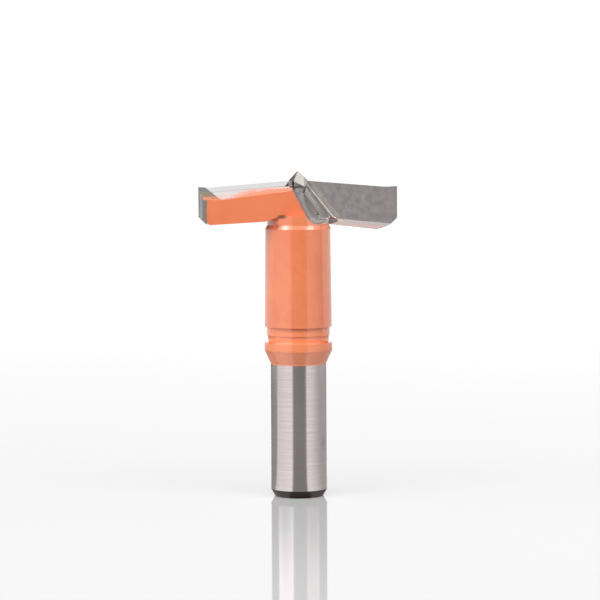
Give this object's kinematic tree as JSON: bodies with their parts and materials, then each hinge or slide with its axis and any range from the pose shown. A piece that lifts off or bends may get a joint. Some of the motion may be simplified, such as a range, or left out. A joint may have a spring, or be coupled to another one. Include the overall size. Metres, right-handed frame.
{
  "type": "hinge boring bit",
  "caption": "Wood boring bit for cabinet hinge cups: T-shaped head with brazed carbide plates, spurs and a centre point on a round shank with a clamping flat.",
  "frame": {"origin": "centre of the shank's end face, on the tool axis", "axes": "+Z along the tool axis from the shank end to the centre point; the two wings lie along +X and -X; the rake face of the +X wing looks towards -Y"},
  "size_m": [0.035, 0.012, 0.0575],
  "materials": {
    "painted_steel": "glossy orange enamel on steel; shank, gullets, top reliefs and centre point are bare ground steel",
    "carbide": "finely ground tungsten carbide",
    "dark_steel": "black oxide"
  },
  "bodies": {
    "root": {"tool_body": "painted_steel", "carbide_plate_right": "carbide", "carbide_plate_left": "carbide", "length_stop_screw": "dark_steel"}
  },
  "joints": []
}
